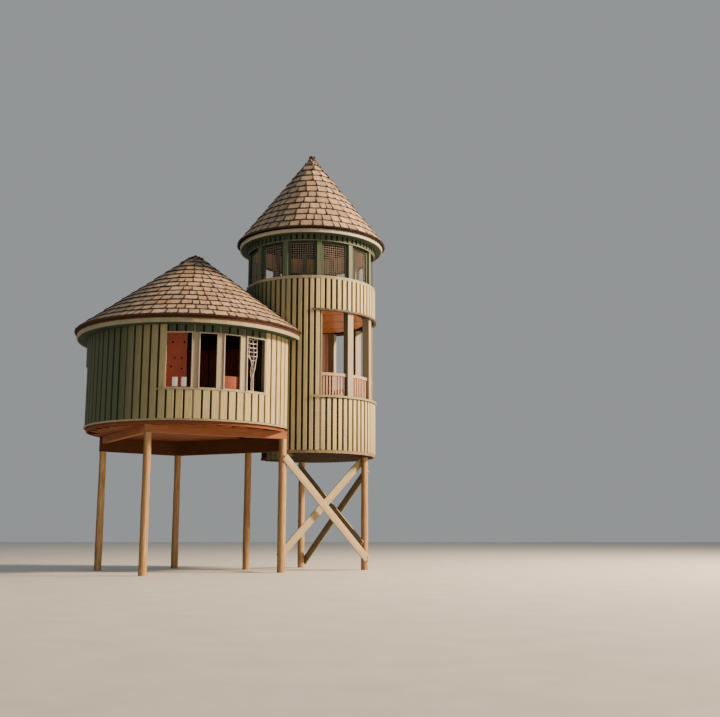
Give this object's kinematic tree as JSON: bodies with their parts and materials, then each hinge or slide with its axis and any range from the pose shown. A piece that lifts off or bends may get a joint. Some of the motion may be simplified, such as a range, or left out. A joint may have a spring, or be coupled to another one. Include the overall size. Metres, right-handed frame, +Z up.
{
  "type": "round tree house with lookout tower",
  "caption": "Round timber hut and round lookout tower with cone roofs of wood shakes, joined side by side on log poles with crossed braces.",
  "frame": {"origin": "on the ground under the middle of the box that holds the whole building", "axes": "+Z up, +X to the tower's side as seen in the picture, +Y away from the viewer"},
  "size_m": [10.9264, 8.1824, 15.59],
  "materials": {
    "siding": "matte",
    "trim": "matte",
    "shakes": "matte",
    "logs": "matte",
    "beams": "matte",
    "boards": "matte",
    "rail": "matte",
    "planks": "matte",
    "panel": "satin"
  },
  "bodies": {
    "root": {"tower_logs": "logs", "hut_logs": "logs", "front_braces": "planks", "side_braces": "planks", "tower_floor": "boards", "balcony_floor": "boards", "loft_floor": "boards", "tower_posts": "trim", "loft_posts": "trim", "tower_lower_wall": "siding", "tower_side_wall": "siding", "tower_upper_wall": "siding", "tower_head_wall": "siding", "doorway_wall": "siding", "tower_step_wall": "siding", "tower_bottom_trim": "trim", "balcony_sill_trim": "trim", "balcony_head_trim": "trim", "loft_sill_trim": "trim", "loft_head_trim": "trim", "balcony_rail": "rail", "tower_soffit": "boards", "tower_fascia": "trim", "tower_roof_panels_a": "shakes", "tower_roof_panels_b": "shakes", "tower_roof_cap": "shakes", "front_beam": "beams", "back_beam": "beams", "rear_left_beam": "beams", "front_left_beam": "beams", "hut_joists": "beams", "hut_floor": "boards", "hut_floor_trim": "trim", "hut_posts": "trim", "hut_side_wall": "siding", "hut_parapet_wall": "siding", "hut_head_wall": "siding", "hut_door_head": "siding", "hut_sills": "trim", "hut_soffit": "boards", "hut_fascia": "trim", "hut_roof_panels_a": "shakes", "hut_roof_panels_b": "shakes", "hut_roof_cap": "shakes", "hole_panel": "panel"}
  },
  "joints": []
}
